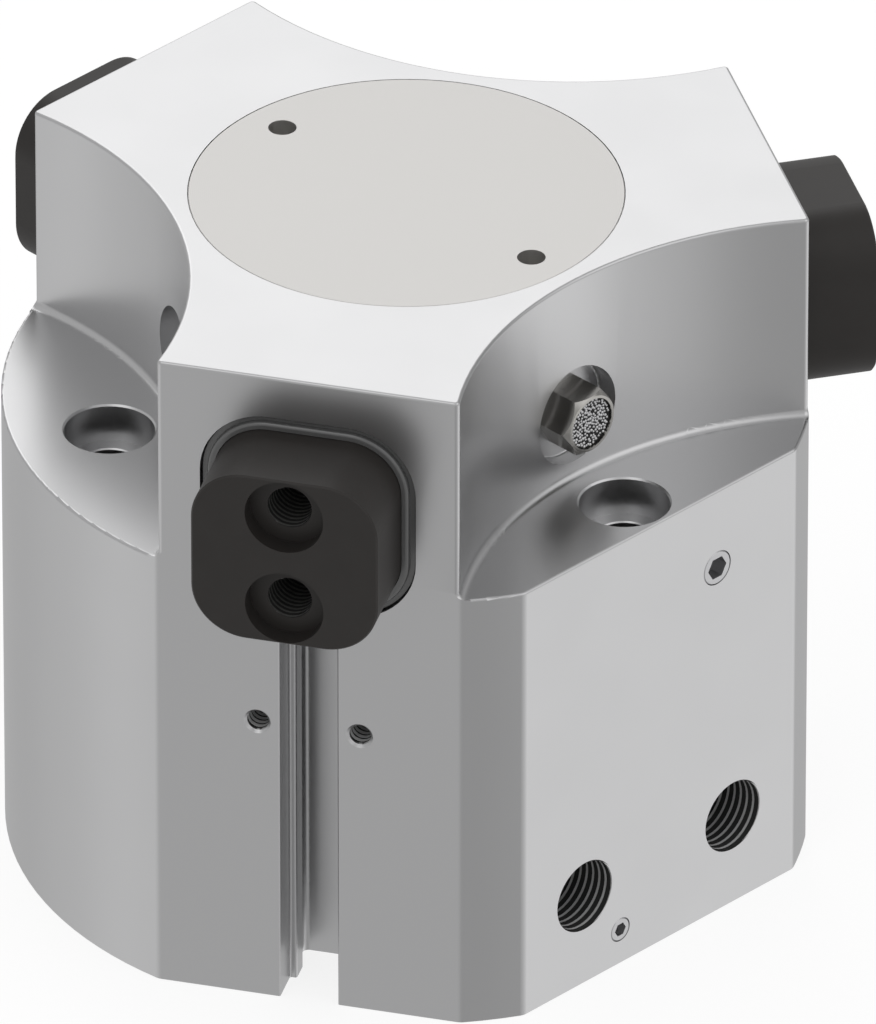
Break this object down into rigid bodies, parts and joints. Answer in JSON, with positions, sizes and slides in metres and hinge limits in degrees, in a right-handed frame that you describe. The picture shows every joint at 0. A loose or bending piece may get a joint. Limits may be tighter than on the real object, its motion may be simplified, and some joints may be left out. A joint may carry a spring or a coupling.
{
  "type": "three-jaw gripper",
  "caption": "Pneumatic gripper with three radially sliding jaws on a round body with hollowed flanks, sensor slots, air ports and ledge mounting holes.",
  "frame": {"origin": "on the gripper's axis, in the plane of its mounting face", "axes": "+Z along the axis, from the mounting face towards the cover; jaw 1 points along -Y, and jaw 2 and jaw 3 follow at 120 degree steps, anticlockwise seen from above"},
  "size_m": [0.1006, 0.0975, 0.0813],
  "materials": {
    "body": "satin hard-anodised aluminium, fine milled grain",
    "cover": "fine-turned satin aluminium",
    "jaw": "hardened steel, black oxide, satin",
    "frame": "light grey moulded plastic",
    "steel": "ground steel",
    "screw": "plated steel screws",
    "breather": "nickel-plated, satin",
    "sinter": "sintered beads",
    "rubber": "black nitrile rubber",
    "bush": "bronze bush",
    "magnet": "bonded magnet",
    "ring": "blackened spring steel"
  },
  "bodies": {
    "housing": {"housing": "body", "top_cover": "cover", "cover_seal": "rubber", "end_cap": "body", "end_cap_seal": "rubber", "retaining_ring": "ring", "rod_bush": "bush", "rod_seal": "rubber", "lever_bracket": "body", "duct_plug": "screw", "bleed_plug": "screw", "breather_body": "breather", "breather_element": "sinter", "vent_plug": "screw", "bracket_screw_1": "screw", "lever_pin_1": "steel", "jaw_frame_1": "frame", "bracket_screw_2": "screw", "lever_pin_2": "steel", "jaw_frame_2": "frame", "bracket_screw_3": "screw", "lever_pin_3": "steel", "jaw_frame_3": "frame"},
    "piston": {"piston": "body", "piston_seal": "rubber", "piston_magnet": "magnet", "piston_rod": "steel", "rod_screw": "screw"},
    "lever_1": {"lever_1": "steel"},
    "lever_2": {"lever_2": "steel"},
    "lever_3": {"lever_3": "steel"},
    "jaw_1": {"jaw_1": "jaw"},
    "jaw_2": {"jaw_2": "jaw"},
    "jaw_3": {"jaw_3": "jaw"}
  },
  "joints": [
    {"name": "piston_slide", "type": "slide", "parent": "housing", "child": "piston", "axis": [0, 0, 1], "range_m": [0, 0.006]},
    {"name": "lever_1_swing", "type": "hinge", "parent": "housing", "child": "lever_1", "pos_m": [0, -0.0165, 0.04925], "axis": [1, 0, 0], "range_deg": [0, 41.34]},
    {"name": "jaw_1_slide", "type": "slide", "parent": "housing", "child": "jaw_1", "axis": [0, -1, 0], "range_m": [0, 0.006]},
    {"name": "lever_2_swing", "type": "hinge", "parent": "housing", "child": "lever_2", "pos_m": [0.01429, 0.00825, 0.04925], "axis": [-0.5, 0.866, 0], "range_deg": [0, 41.34]},
    {"name": "jaw_2_slide", "type": "slide", "parent": "housing", "child": "jaw_2", "axis": [0.866, 0.5, 0], "range_m": [0, 0.006]},
    {"name": "lever_3_swing", "type": "hinge", "parent": "housing", "child": "lever_3", "pos_m": [-0.01429, 0.00825, 0.04925], "axis": [-0.5, -0.866, 0], "range_deg": [0, 41.34]},
    {"name": "jaw_3_slide", "type": "slide", "parent": "housing", "child": "jaw_3", "axis": [-0.866, 0.5, 0], "range_m": [0, 0.006]}
  ],
  "couplings": [
    {"joint": "lever_1_swing", "follows": "piston_slide", "rad_per_m": 120.24},
    {"joint": "jaw_1_slide", "follows": "piston_slide", "ratio": 1},
    {"joint": "lever_2_swing", "follows": "piston_slide", "rad_per_m": 120.24},
    {"joint": "jaw_2_slide", "follows": "piston_slide", "ratio": 1},
    {"joint": "lever_3_swing", "follows": "piston_slide", "rad_per_m": 120.24},
    {"joint": "jaw_3_slide", "follows": "piston_slide", "ratio": 1}
  ]
}
